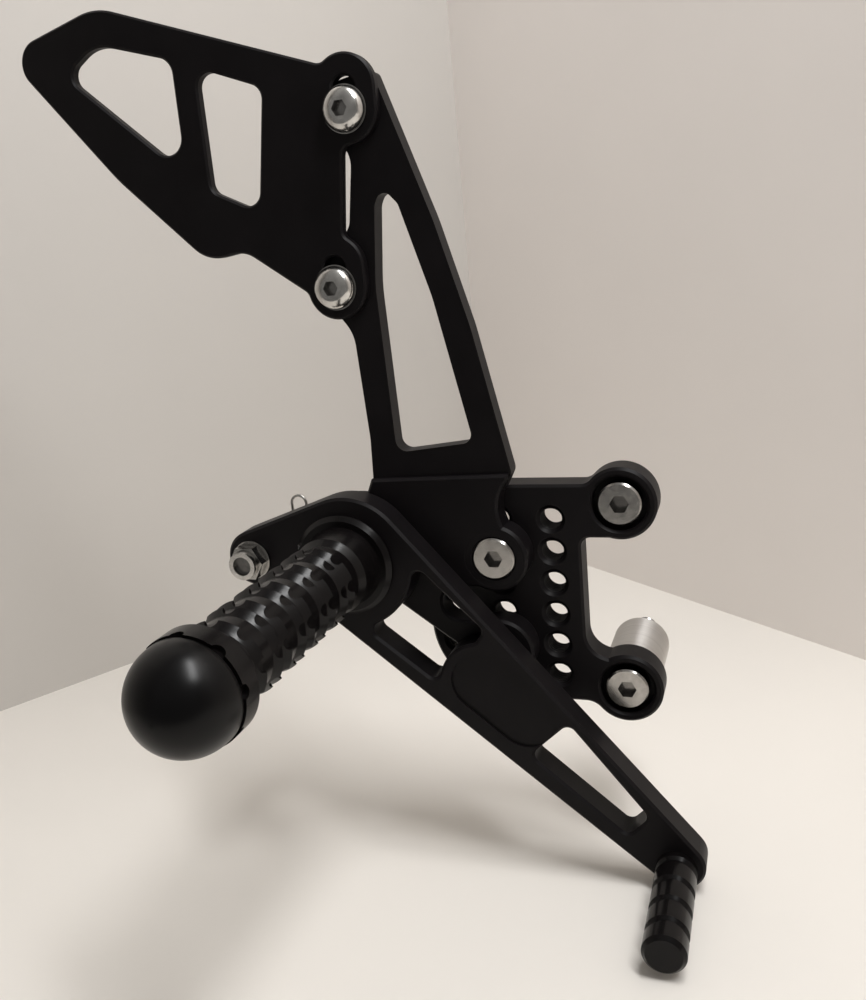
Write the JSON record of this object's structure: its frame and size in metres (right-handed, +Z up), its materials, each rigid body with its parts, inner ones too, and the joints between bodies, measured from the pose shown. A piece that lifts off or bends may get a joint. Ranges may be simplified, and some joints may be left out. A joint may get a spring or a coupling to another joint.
{
  "type": "rear sets footrest",
  "caption": "Black machined motorcycle rear set for the brake side: drilled mounting plate, carrier with heel guard, grooved foot peg and a swinging brake pedal with toe peg.",
  "frame": {"origin": "on the upper frame bolt's axis at the base plate's inner face", "axes": "+X forward along the motorbike, +Y inboard towards the frame along the bolts, +Z up through the two frame bolts"},
  "size_m": [0.1971, 0.1718, 0.2671],
  "materials": {
    "anodised_black": "satin black anodised",
    "turned_black": "turned, black anodised",
    "screw_steel": "zinc plated",
    "dark_steel": "dark oxide",
    "turned_aluminium": "satin turned",
    "cap_plastic": "glossy moulded",
    "bearing_bronze": "turned",
    "clip_wire": "drawn wire"
  },
  "bodies": {
    "bracket": {"base_plate": "anodised_black", "peg_carrier": "anodised_black", "heel_guard": "anodised_black", "heel_guard_screws": "screw_steel", "frame_bolt_upper": "screw_steel", "frame_bolt_lower": "screw_steel", "frame_spacer": "turned_aluminium", "carrier_bolts": "screw_steel", "pivot_sleeve": "screw_steel", "inner_thrust_washer": "screw_steel", "hub_washer": "turned_black", "foot_peg": "turned_black", "peg_bolt": "screw_steel", "peg_bolt_washer": "screw_steel", "end_cap": "cap_plastic"},
    "pedal": {"brake_pedal": "anodised_black", "pivot_bush": "bearing_bronze", "toe_peg": "turned_black", "toe_peg_screw": "screw_steel", "rod_pin": "dark_steel", "rod_pin_nut": "screw_steel", "hairpin_clip": "clip_wire"}
  },
  "joints": [
    {"name": "brake_pedal_swing", "type": "hinge", "parent": "bracket", "child": "pedal", "pos_m": [-0.0808, -0.023, -0.0135], "axis": [0, 1, 0], "range_deg": [-14, 0]}
  ]
}
